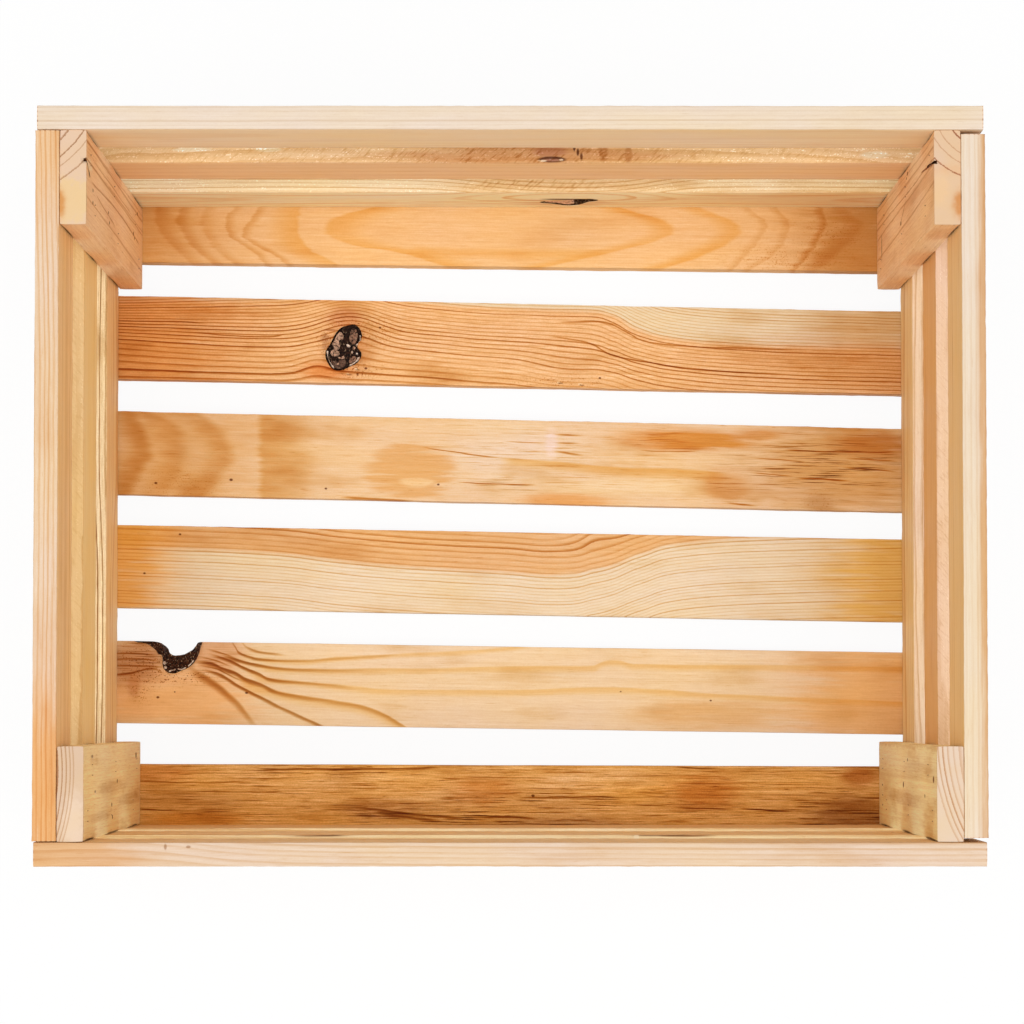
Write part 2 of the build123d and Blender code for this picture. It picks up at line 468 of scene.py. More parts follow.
fix_post(
    "far_right_post", seed=2, heart=((250, 206, 156), (192, 130, 82)), late=(0.84, 0.95), dashes=0.5,
    end=((221, 187, 153), (152, 94, 64)), pith=[(-118, 36, -20), (118, 36, -20)],
    years=[(12, 0), (20.5, 1), (26.5, 2), (31, 3), (37.5, 4), (40, 4.45), (100, 4.6)],
    veins=[
        ([(-118, 14), (0, 16), (118, 17)], 1.4, 0.7, 0.5), ([(-118, 4), (118, 8)], 1.4, 0.7, 0.5),
        ([(-118, -8), (0, -6), (118, -2)], 1.4, 0.7, 0.5), ([(70, 11.4), (116, 8)], 0.8, 0.6, 2.4),
        ([(-16, -4), (6, 6)], 0.7, 0.5, 2.0),
    ],
    stains=[
        ((118, -14, -7), (6, 7, 4), (204, 138, 80), 0.9), ((60, 4), (60, 4), (222, 160, 104), 0.5),
        ((118, -6, 4), (5, 9, 5), (228, 190, 148), 0.8), ((-96, -3), (1.2, 8), (110, 62, 28), 0.8, 0.3),
    ],
    pins=[(16, 21, 1.2), (11.6, 19, 0.8), (-11.7, -2.5, 1.3)],
)
fix_post(
    "near_left_post", seed=3, heart=((255, 226, 166), (196, 140, 78)), late=(0.5, 0.94), line=0.5,
    blotch=0.5, end=((214, 184, 157), (156, 106, 70)), pith=[(-118, -12, -120), (118, -12, -120)],
    years=[(108, 0), (114, 1), (116.2, 2), (118.4, 3), (120.4, 4), (122.2, 5), (124, 5.45), (160, 5.6)],
    stains=[
        ((118, 14, 2), (5, 16, 7), (230, 204, 180), 0.8), ((10, -1), (60, 4), (206, 150, 88), 0.45),
        ((-70, 8), (44, 4), (200, 142, 82), 0.45), ((60, 14), (40, 3), (210, 154, 92), 0.4),
    ],
    chips=[(83, -18, 2.4), (71, 1, 2.2)],
    pins=[(-98, -17, 1.9), (-15, -3.7, 1.2), (7, 9, 1.2), (4, 16, 1.2)],
)
fix_post(
    "near_right_post", seed=4, heart=((255, 231, 172), (204, 150, 86)), late=(0.5, 0.94), line=0.4,
    blotch=0.5, end=((223, 198, 173), (184, 134, 96)), pith=[(-118, 30, -110), (118, 30, -110)],
    years=[
        (100, 0), (106, 1), (109, 2), (112, 3), (114.6, 4), (117, 5), (119.6, 6), (121.6, 6.45), (160, 6.6),
    ],
    stains=[((0, -6), (80, 4), (208, 152, 90), 0.4), ((40, 12), (60, 4), (212, 158, 96), 0.35)],
    chips=[(-105, 0, 1.6), (-104, -6, 1.6), (-104, -12, 1.4)],
    pins=[(104, 7.2, 1.8), (-12, 1.7, 1.7), (73, -2.4, 1.0), (5.6, 16, 1.0)],
)

# Cracks in the tops of the two far posts. The wood has dried and split along the grain, and
# the split is cut into the board; its rough inside is painted dark brown, painted shade of the narrow
# split.


def lumpy_block(name, node, turn, layers, wood, grain, depth):
    """A lumpy piece on a board's face, from smooth outlines between two depths."""
    middle, size = board_size(node, turn)
    blocks = []
    for outline, low, high in layers:
        bpy.ops.object.select_all(action="DESELECT")
        bpy.ops.curve.primitive_bezier_circle_add(location=middle, rotation=turn)
        block = bpy.context.object
        block.location += turn.to_matrix() @ Vector((0, 0, size.z / 2 + (low + high) / 2 * mm))
        block.data.dimensions = "2D"
        block.data.fill_mode = "BOTH"
        block.data.extrude = (high - low) / 2 * mm
        points = block.data.splines[0].bezier_points
        points.add(max(0, len(outline) - 4))
        for point, (along, across) in zip(points, outline):
            point.co = (along * mm, across * mm, 0)
            point.handle_left_type = point.handle_right_type = "AUTO"
        bpy.ops.object.convert(target="MESH")
        blocks.append(block)
    for block in blocks:
        block.select_set(True)
    bpy.ops.object.join()
    block = bpy.context.object
    block.name = block.data.name = name
    bpy.ops.object.transform_apply(location=True, rotation=True, scale=True)
    bpy.ops.object.mode_set(mode="EDIT")
    bpy.ops.mesh.select_all(action="SELECT")
    bpy.ops.mesh.remove_doubles(threshold=0.01 * mm)
    bpy.ops.mesh.normals_make_consistent(inside=False)
    bpy.ops.object.mode_set(mode="OBJECT")
    skin = block.modifiers.new("skin", "REMESH")
    skin.voxel_size = grain / 4
    bpy.ops.object.modifier_apply(modifier="skin")
    soft = block.modifiers.new("soft", "SMOOTH")
    soft.iterations = 6
    bpy.ops.object.modifier_apply(modifier="soft")
    roughen(block, name, grain, depth)
    bpy.ops.object.shade_smooth()
    block.data.materials.append(wood)
    return block


def bark(name, seed, dark, pale, flecks=0.5):
    """Dead knot wood or bark: dark and cracked, with paler ridges and glints of dried resin."""
    material = bpy.data.materials.new(name)
    material.use_nodes = True
    tree = material.node_tree
    shader = tree.nodes["Principled BSDF"]
    place = Grain(tree.nodes.new("ShaderNodeTexCoord").outputs["Object"])
    spot = place.placed((0.0, 0.0, 0.0), (mm, mm, mm))
    ridge = spot.speckle((0.7, 0.7, 0.7), seed, detail=4.0, roughness=0.7)
    fleck = spot.speckle((1.4, 0.8, 0.8), seed + 1, detail=2.0).rise(0.1, 0.2) * flecks
    crust = ridge.rise(-0.14, 0.12).mixed(srgb(*dark), srgb(*pale))
    crust = fleck.mixed(crust, srgb(206, 172, 136))
    shader.inputs["Specular IOR Level"].default_value = wood_gloss
    tree.links.new(crust.socket, shader.inputs["Base Color"])
    tree.links.new((ridge * 0.5 + 0.6).socket, shader.inputs["Roughness"])
    relief = {"Strength": 0.8, "Distance": 1.0 * mm, "Height": ridge + fleck * 0.3}
    bump = ridge.node("ShaderNodeBump", {}, relief)
    tree.links.new(bump.socket, shader.inputs["Normal"])
    return material


# Painted shade: the dark brown inside of the cracks stands for the shade in the narrow split.
crack_shade_wood = bark("crack_shade_wood", 13, (44, 20, 8), (110, 62, 28), 0.1)
cracks = {
    "far_left_post": [
        (120, -10.2), (120, -9.4), (111, -6), (104, -2.2), (103.4, -2.7), (110.6, -6.7),
    ],
    "far_right_post": [
        (120, 7.4), (120, 8.2), (108, 9.6), (92, 10.6), (92, 10), (108, 8.8),
    ],
}
crack_lumps = (0.8 * mm, 0.15 * mm)
for node, outline in cracks.items():
    turn = post_turns[node.split("_")[1]]
    layers = [(outline, -1.6, 1.0)]
    crack = lumpy_block(node + "_crack", node, turn, layers, crack_shade_wood, *crack_lumps)
    cut_out(posts[node], crack)

# End slats: three short boards to each end wall, stapled through into the posts. Their narrow
# upper edges are rough from the saw and paler than their faces.
end_turns = {
    "left": Euler((right_angle, 0, right_angle)),
    "right": Euler((right_angle, 0, -right_angle)),
}
post_place = 162
end_spread = 12
end_stagger = 8
end_staples = [
    (wall * (post_place + end_spread * hand), end_stagger * hand) for wall in (-1, 1) for hand in (-1, 1)
]


def fix_end_slat(node, **wood):
    """A slat of the left or the right wall, as its name says."""
    fix_board(node, end_turns[node.split("_")[0]], "wall_wood", end_staples, **wood)


fix_end_slat(
    "left_top_slat", seed=5, heart=((252, 210, 150), (220, 164, 98)), rim=((227, 197, 164), (204, 146, 92)),
    pith=[(-187, -32, -43), (0, -30, -45), (187, -34, -43)], ring=1.6, line=0.9, late=(0.4, 0.85),
    stains=[((-187, 25.5), (80, 3), (226, 162, 92), 0.8), ((187, 25.5), (50, 3), (228, 178, 122), 0.5)],
)
fix_end_slat(
    "left_middle_slat", seed=6, heart=((255, 224, 159), (236, 190, 118)),
    rim=((236, 196, 136), (210, 160, 96)), pith=[(-187, -60, 30), (187, -62, 28)], ring=3.0, line=0.6,
    wander=5.0, flecks=0.5, saws=[((0, 25.5), (200, 3), 0.3)],
)
fix_end_slat(
    "left_bottom_slat", seed=7, heart=((255, 221, 164), (226, 172, 110)),
    rim=((247, 218, 168), (146, 94, 44)),
    pith=[(-187, -20, -62), (-60, -20, -60), (40, -20, -62.5), (187, -20, -61)], ring=2.6, late=(0.66, 0.9),
    line=1.1, wander=1.0,
)
fix_end_slat(
    "right_top_slat", seed=8, heart=((248, 209, 148), (226, 176, 112)),
    rim=((228, 208, 182), (212, 178, 140)), pith=[(-185, -30, 60), (185, -32, 58)], ring=1.9, line=0.7,
    stains=[((0, 25.5, -6.5), (400, 3, 4.2), (210, 162, 112), 0.9)],
)
fix_end_slat(
    "right_middle_slat", seed=9, heart=((240, 190, 126), (214, 150, 86)),
    rim=((246, 208, 171), (214, 164, 118)), pith=[(-185, -70, 20), (185, -66, 24)], ring=3.2, line=0.6,
    wander=4.0, flecks=0.4, saws=[((40, 25.5), (150, 3), 0.4)],
)
fix_end_slat(
    "right_bottom_slat", seed=10, heart=((254, 226, 170), (222, 170, 106)),
    rim=((244, 214, 180), (206, 158, 110)), pith=[(-185, -18, 50), (0, -20, 52), (185, -16, 50)], ring=2.8,
    line=0.9, wander=4.0,
)

# Side slats: three long boards to each side wall, over the ends of the end slats, stapled into
# the posts' edges. The far ones show their rough upper edges and their inner faces.
side_turns = {"far": Euler((right_angle, 0, 0)), "near": Euler((-right_angle, 0, 0))}
side_reach = 230
side_spread = 17
side_staples = [(side_reach * end, side_spread * hand) for end in (-1, 1) for hand in (-1, 1)]
side_boards = {}


def fix_side_slat(node, **wood):
    """A slat of the far or the near wall, as its name says."""
    turn = side_turns[node.split("_")[0]]
    side_boards[node] = fix_board(node, turn, "wall_wood", side_staples, **wood)


fix_side_slat(
    "far_top_slat", seed=11, heart=((250, 223, 182), (236, 196, 146)),
    rim=((228, 209, 187), (208, 180, 150)), pith=[(-249, 8, -58), (249, 12, -60)], ring=2.2, line=0.5,
)
fix_side_slat(
    "far_middle_slat", seed=12, heart=((252, 213, 164), (230, 178, 118)),
    rim=((246, 204, 150), (212, 156, 92)), pith=[(-249, -40, 40), (20, -36, 40), (249, -44, 40)], ring=2.8,
    line=0.7, wander=5.0, flecks=0.9,
    stains=[
        ((8, 25.5, 2), (80, 3, 5), (204, 134, 78), 0.75),
        ((-176, 25.5, -1), (12, 2, 1.4), (252, 230, 190), 0.9, 0.2),
        ((-135, 25.5, -1), (8, 2, 1.4), (252, 230, 190), 0.9, 0.2),
        ((204, 25.5, 2), (8, 2, 2), (252, 230, 190), 0.8, 0.2),
        ((22, 25.5, 0), (9, 3, 3), (188, 122, 86), 0.7, 0.3),
        ((23.5, 25.5, 4.4), (8, 3, 1.6), (92, 48, 26), 0.95, 0.15),
        ((23.5, 25.5, 4.8), (6, 3, 0.7), (180, 126, 102), 0.9, 0.2),
        # The two small near-white marks on the knot are painted highlights.
        ((18, 25.5, 5.2), (2.4, 3, 0.5), (250, 226, 200), 0.9, 0.2),
        ((28.5, 25.5, 4.6), (1.2, 3, 0.5), (250, 226, 200), 0.9, 0.2),
        ((34, 25.5, -4.6), (0.7, 3, 2), (104, 50, 18), 0.9, 0.3),
        ((35.8, 25.5, -2.2), (0.7, 3, 2), (88, 38, 12), 0.9, 0.3),
        ((37.8, 25.5, 0.4), (0.7, 3, 2), (88, 38, 12), 0.9, 0.3),
        ((39.8, 25.5, 3), (0.8, 3, 2), (104, 50, 18), 0.9, 0.3),
        ((52, 25.5, 0), (2.4, 3, 5), (186, 116, 58), 0.7, 0.3),
        ((66, 25.5, 1), (2, 3, 5), (190, 122, 64), 0.7, 0.3),
    ],
    saws=[((10, 25.5, 2), (90, 3, 8), 1.2), ((-150, 25.5), (110, 3), 0.3), ((170, 25.5), (60, 3), 0.3)],
)
fix_side_slat(
    "far_bottom_slat", seed=13, heart=((255, 244, 204), (228, 172, 108)),
    rim=((253, 228, 182), (200, 146, 84)),
    pith=[(-249, 0, -48), (-60, 4, -50), (40, 10, -46), (120, 2, -50), (249, 0, -48)], ring=2.2, line=0.65,
    wander=3.0, late=(0.55, 0.92), flecks=0.4,
    veins=[
        ([(-60, -4), (0, -6), (30, -8)], 0.9, 0.7, 0.9),
        ([(-30, -14), (10, -12), (32, -10)], 0.8, 0.6, 0.8),
        ([(52, -8), (80, -12), (130, -20)], 0.9, 0.7, 0.8), ([(-20, -2), (4, -1), (22, 0)], 1.4, 1.0, 1.2),
        ([(6, -13), (22, -15), (36, -18)], 0.9, 0.6, 1.0), ([(52, -4), (90, 4), (150, 6)], 0.8, 0.6, 0.6),
    ],
    stains=[
        ((30, 25.5, 0), (70, 3, 8), (234, 186, 122), 0.7), ((170, 0), (90, 20), (238, 190, 128), 0.5),
        ((36, -8), (26, 10), (216, 158, 96), 0.5), ((34, 3), (15, 2.6), (72, 36, 16), 0.95, 0.3),
        ((-34, 25.5, -3), (5, 3, 1.6), (150, 100, 50), 0.8, 0.2),
        ((16, 25.5, -6), (5, 3, 0.9), (104, 58, 22), 0.9, 0.2),
        ((88, 25.5, -6), (7, 3, 0.9), (120, 72, 30), 0.9, 0.2),
    ],
    saws=[((18, 25.5, 1), (40, 3, 5), 0.6)],
)
fix_side_slat(
    "near_top_slat", seed=14, heart=((246, 208, 156), (222, 170, 110)),
    rim=((224, 197, 169), (200, 154, 110)),
    pith=[(-249, 14, -34), (-190, 10, -38), (-100, 8, -46), (249, 8, -48)], ring=2.6, line=0.9,
    stains=[
        ((-240, -25.5), (45, 3), (218, 164, 106), 0.7),
        ((-180, -25.5, 4), (0.8, 3, 1.6), (160, 110, 66), 0.7, 0.3),
        ((-168, -25.5, 4), (1.2, 3, 0.7), (160, 110, 66), 0.7, 0.3),
    ],
)
fix_side_slat(
    "near_middle_slat", seed=15, heart=((248, 210, 156), (222, 170, 110)),
    rim=((250, 222, 172), (206, 152, 92)), pith=[(-249, -8, -40), (249, -4, -42)], ring=3.0, line=0.9,
    stains=[
        ((-107, -25.5, 6), (19, 1.2, 0.9), (160, 104, 52), 0.8, 0.3),
        ((-100, -25.5, 6.2), (12, 0.9, 0.4), (84, 46, 18), 0.9, 0.3),
        ((92, -25.5, 6), (24, 1.2, 0.9), (160, 104, 52), 0.8, 0.3),
        ((86, -25.5, 6.2), (16, 0.9, 0.4), (84, 46, 18), 0.9, 0.3),
        ((70, -25.5, 5), (1.4, 2, 2), (252, 232, 196), 0.8, 0.3),
    ],
)
fix_side_slat(
    "near_bottom_slat", seed=16, heart=((248, 210, 156), (222, 170, 110)),
    rim=((250, 222, 172), (206, 152, 92)), pith=[(-249, 10, -40), (249, 14, -42)], ring=3.0, line=0.9,
)

# Pitch pocket in the far bottom slat: a split in the wood that filled with resin as the tree grew.
# It is cut into the board, lined with dark resin, and holds a torn sliver of paler wood.
pocket_outline = [
    (18, -7), (30, -1), (40, 3), (50, 3.4), (53, 0), (47, -6), (42, -15), (36, -18), (26, -12),
]
sliver_outline = [
    (21, -7.4), (30, -3), (36, -0.6), (38, -3), (37, -8), (39, -13), (35, -16.4), (28, -11.4),
]
resin = bark("pocket_resin", 15, (26, 13, 7), (96, 64, 40), 1.0)
sliver_wood = bark("pocket_sliver", 16, (176, 128, 100), (250, 208, 176), 0.3)


def join_to(board, bits):
    """Make loose bits one piece with the board that they sit in."""
    bpy.ops.object.select_all(action="DESELECT")
    for bit in [*bits, board]:
        bit.select_set(True)
    bpy.context.view_layer.objects.active = board
    bpy.ops.object.join()


pocket_lumps = (2 * mm, 0.4 * mm)
far_turn = side_turns["far"]
pocket_layers = [(pocket_outline, -3.0, 1.0)]
pocket = lumpy_block("pocket", "far_bottom_slat", far_turn, pocket_layers, resin, *pocket_lumps)
cut_out(side_boards["far_bottom_slat"], pocket)
sliver_layers = [(sliver_outline, -4.0, -0.3)]
sliver = lumpy_block("sliver", "far_bottom_slat", far_turn, sliver_layers, sliver_wood, *pocket_lumps)
join_to(side_boards["far_bottom_slat"], [sliver])

# Floor slats: six long boards across the bottom, each fixed a little off true, stapled from
# below into the bottom end slats. One holds a dead knot and one has lost a knot from its edge.
floor_skews = {1: 0.7, 2: 1.15, 3: 1.3, 4: 1.05, 5: 0.85, 6: 0.2}
floor_reach = 243.5
floor_spread = 7
floor_staples = [(floor_reach * end, floor_spread * hand) for end in (-1, 1) for hand in (-1, 1)]
floor_boards = {}


def floor_turn(number):
    """How far a floor slat, counted from the far wall, is turned from the crate's length."""
    return Euler((0, 0, -math.radians(floor_skews[number])))


def fix_floor_slat(number, **wood):
    """A slat of the floor, counted from the far wall."""
    node = f"floor_slat_{number}"
    floor_boards[number] = fix_board(node, floor_turn(number), "floor_wood", floor_staples, **wood)


fix_floor_slat(
    1, seed=21, heart=((234, 190, 134), (186, 108, 40)), line=0.0, blotch=0.15, dashes=0.1, fibres=0.4,
    pith=[(-249, -1, -50), (249, -1, -50)], dots=[((170, -16), (30, 8), 0.5), ((195, 0), (16, 8), 0.5)],
    arcs=[
        ([(-25, -190), (-13, -203), (-1, -212), (9, -214), (24, -206)], 3, 10, 0.2),
        ([(-25, -176), (-13, -191), (-1, -199), (5, -200.5), (13, -198), (24, -192)], 3, 8, 0.24),
        ([(-25, -163), (-11, -180), (1, -186), (24, -178)], 3, 8, 0.14),
        ([(-25, -146), (-15, -156), (-5, -170), (1, -172), (11, -166), (24, -156)], 2, 6, 0.24),
        ([(-25, -131), (-15, -147), (-9, -158), (-5, -161), (4, -157), (10, -152), (24, -144)], 2, 6, 0.26),
        ([(-25, 132), (-8, 148), (1, 154), (6, 155.5), (11, 148), (24, 138)], 6, 2, 0.18),
        ([(-25, 142), (-21, 148), (-11, 162), (-1, 167), (6, 169), (11, 165), (24, 155)], 6, 2, 0.18),
        ([(-25, 171), (-13, 181), (-4, 186), (7, 191), (11, 190), (24, 184)], 5, 2, 0.34),
        ([(-25, 182), (-11, 198), (-4, 205), (6, 211), (11, 205), (24, 195)], 14, 6, 0.2),
    ],
    gold_arcs=[
        ([(-25, -102), (-21, -109), (-12, -125), (-5, -130), (1, -130.5), (13, -128), (24, -122)], 20, 3,
         0.28),
        ([(-25, -30), (-14, -70), (-11.5, -90), (-6.5, -105), (-2, -109), (2, -108), (7, -101), (11, -86),
         (24, -40)], 5, 30, 0.3),
        ([(-25, 10), (-11, 68), (-5, 89), (0.7, 97), (7, 90), (11, 75), (24, 40)], 18, 5, 0.3),
        ([(-25, 84), (-14, 116), (-6, 131), (1, 137), (6, 134), (11, 121), (24, 92)], 16, 5, 0.34),
    ],
    gold_veins=[([(-60, -13), (0, -14.5), (60, -14)], 5, 4, 0.2)],
    # Both wide marks at the ends are painted shade: darker and more orange towards the end walls.
    stains=[((-235, 0), (50, 60), (208, 142, 62), 0.7), ((230, 0), (55, 60), (190, 124, 46), 0.8)],
)
fix_floor_slat(
    2, seed=22, heart=((231, 184, 132), (148, 76, 20)), late=(0.52, 0.88), wander=1.5, fibres=0.5,
    line=[(-249, 1.2), (-150, 1.05), (-60, 0.85), (0, 0.65), (80, 0.75), (249, 0.85)], dashes=0.15,
    sap=((226, 207, 174), (190, 138, 78)), sap_from=101.5,
    pith=[
        (-249, -72.5, -20), (-70, -72.5, -20), (-10, -75.4, -20), (20, -76, -20), (45, -78, -20),
        (62, -82, -20), (80, -88, -20), (105, -92, -20), (150, -94.5, -20), (249, -96, -20),
    ],
    years=[(45, 0), (62, 5), (70, 7.8), (78, 11), (86, 14.4), (94, 18), (100, 21), (110, 26.4), (125, 35)],
    bows=[
        (-97, 12, 10, 24, 24), (-118, -14, 4, 12, 10), (-260, 26, -6, 80, 16), (-260, -4, 4, 70, 14),
        (62, 22, 4, 26, 14), (32, -16, -5, 24, 14),
    ],
    veins=[
        ([(-249, 10.5), (-206, 10.7), (-188, 10)], 1.0, 0.5, 0.8),
        ([(-190, 3), (-170, 2), (-150, 1.8), (-136, 3.4)], 0.8, 0.5, 0.8),
        ([(23, 6.7), (45, 3.3), (65, -5), (81, -8.3), (105, -11.7), (131, -13.3), (165, -13.8)], 0.9, 0.5,
         [(23, 0.3), (60, 0.7), (100, 1.0), (165, 0.3)]),
        ([(31, 14.2), (55, 12.5), (70, 8.3), (85, 3.3), (105, 1.7), (131, 1.2), (170, 1)], 0.9, 0.5, 0.6),
    ],
    stains=[
        # The first mark, wide at the left end, is painted shade: darker and more orange towards the end
        # wall.
        ((-235, 0), (70, 60), (216, 139, 59), 0.75), ((230, -8), (90, 18), (206, 136, 62), 0.6),
        ((222, 18), (40, 12), (206, 160, 98), 0.7), ((-90, 0), (10, 16), (206, 154, 92), 0.7),
        ((-101, 14), (10, 6), (202, 134, 86), 0.7), ((-112, -18), (16, 5), (222, 138, 66), 0.8),
        ((-109, 7), (4, 0.8), (150, 90, 44), 0.8, 0.3), ((-100, -4), (16, 18), (200, 128, 76), 0.5),
        ((-112, 0), (3, 5), (150, 92, 52), 0.5, 0.3),
    ],
    dots=[
        ((-92, -18), (12, 4), 1.2), ((-82, 6), (10, 7), 0.6), ((-98, 11), (10, 3), 0.8),
        ((-112, 0), (4, 6), 1.6), ((30, -22), (20, 3), 0.8),
    ],
    soot=[((-98, -19), (14, 3), 0.5), ((-86, 6), (5, 8), 0.3)],
    chips=[(30, -22, 1.1), (43, -23, 1.1), (-93, -16.5, 1.0), (-98, -19.5, 1.1)],
    pins=[(-87, -16, 0.7), (-92, -19.5, 0.6), (-79, 9, 0.6), (55, -19, 0.6)],
)
fix_floor_slat(
    3, seed=23, heart=((228, 194, 151), (178, 108, 40)), line=0.0, wander=3.0, fibres=0.35, gold=3.0,
    pith=[(-249, -2, -86), (249, -2, -99)],
    arcs=[
        ([(-26, -234), (-6, -225), (0, -221.5), (5, -222.5), (26, -234)], 14, 8, 0.36),
        ([(-26, -213), (-20, -210), (-6, -203), (7, -202), (17, -206), (22, -218), (26, -226)], 16, 9,
         0.18),
        ([(-26, -190), (-21, -186), (-11, -178), (-1, -173), (9, -176), (19, -185), (26, -197)], 18, 9,
         0.28), ([(-26, -148), (0, -149), (26, -149.5)], 5, 36, 0.22),
    ],
    veins=[
        ([(-50, 7.5), (-30, 5), (-8, 2.5)], 0.7, 0.5, 1.0),
        ([(-100, -24), (-80, -24.5), (-60, -25)], 1.5, 1, 0.9), ([(28, 17.6), (41, 17.2)], 0.9, 0.7, 1.0),
        ([(29, 12.6), (40, 12.4)], 1.0, 0.7, 1.0), ([(28, 7), (42, 5.6)], 1.1, 0.8, 1.0),
        ([(30, 9.4), (37, 9.2)], 0.6, 0.5, 0.7), ([(-30, -13), (-12, -13.6), (14, -14)], 0.6, 0.5, 1.2),
        ([(-2, 12.4), (8, 12.2), (20, 12.6)], 0.5, 0.4, 0.7),
        ([(80, 8.6), (95, 8.2), (112, 8.4)], 0.6, 0.5, 0.8), ([(134, -22.8), (148, -23.6)], 0.9, 0.6, 1.2),
        ([(168, 10.8), (200, 10.6), (232, 11.4)], 0.6, 0.5, 1.2), ([(148, -4), (170, -5)], 0.5, 0.5, 1.0),
        ([(176, -6), (204, -7)], 0.9, 0.7, 1.5), ([(206, 6.4), (232, 6)], 0.7, 0.5, 1.2),
        ([(204, 1), (232, -0.4)], 0.6, 0.5, 1.4), ([(150, 5), (176, 4.4)], 0.5, 0.4, 0.9),
    ],
    gold_veins=[([(-4, 1.7), (31, 0), (65, -3), (100, -3.5), (130, -5)], 7, 1.5, 0.4)],
    gold_arcs=[([(-26, -148), (0, -149), (26, -149.5)], 5, 36, 0.1)],
    stains=[
        # The first mark, wide at the left end, is painted shade: darker and more orange towards the end
        # wall.
        ((-240, 0), (90, 80), (221, 168, 105), 0.6), ((0, 6), (40, 22), (232, 208, 176), 0.6),
        ((-59.7, -7.2), (29, 17), (218, 164, 98), 0.8, 0.14),
        ((-56, -14), (12, 3.2), (234, 200, 152), 0.8, 0.2), ((70, -14), (46, 5), (234, 206, 162), 0.6),
        ((25, 12), (4, 9), (236, 212, 196), 0.7, 0.35), ((116, 15.5), (36, 6.5), (206, 134, 48), 0.95, 0.3),
        ((88, 16), (24, 7), (214, 146, 70), 0.6), ((150, 20), (16, 3.6), (206, 138, 66), 0.8),
        ((36, -23), (26, 4), (220, 150, 72), 0.7), ((132, -12), (14, 11), (212, 150, 80), 0.6),
        ((200, 0), (55, 30), (206, 150, 80), 0.8), ((188, -21), (10, 5), (182, 126, 64), 0.5),
        ((222, 15), (24, 7), (186, 112, 38), 0.8),
    ],
    streaks=[
        ((34, 12), (7, 8), 1.2), ((88, 14), (26, 8), 1.3), ((132, -10), (20, 10), 1.1),
        ((0, 6), (44, 20), 0.6), ((195, 2), (44, 18), 1.2), ((40, -8), (50, 8), 0.5),
    ],
    soot=[((198, 1), (46, 13), 0.95), ((190, -6), (18, 3), 0.9), ((0, -14), (14, 3), 0.5)],
    dots=[((188, -20), (8, 5), 0.8), ((-200, -18), (24, 8), 0.5)],
    pins=[(-168.5, -15, 0.8), (-43, -15, 0.6), (-214, -18, 0.7), (-111, -19, 0.6)],
)
fix_floor_slat(
    4, seed=24, heart=((225, 178, 124), (178, 108, 44)), late=(0.45, 0.9), wander=1.5, fibres=0.5,
    sap=((229, 210, 180), (200, 154, 98)), sap_from=103,
    pith=[
        (-249, 112, -20), (-150, 109.7, -20), (-100, 105.3, -20), (-60, 102.5, -20), (0, 100.3, -20),
        (25, 99, -20), (50, 102.5, -20), (80, 113, -20), (105, 120, -20), (150, 124, -20), (249, 128, -20),
    ],
    years=[(70, 0), (90, 6), (103, 10.2), (115, 16), (135, 27), (160, 40)], bows=[(50, 26, 5, 16, 9)],
    # Both wide marks at the ends are painted shade: darker and more orange towards the end walls.
    stains=[((238, 4), (50, 60), (223, 172, 72), 0.85), ((-245, 0), (40, 60), (228, 162, 62), 0.85)],
    pins=[(-200, 20, 0.6), (-221, -4, 0.6)],
)
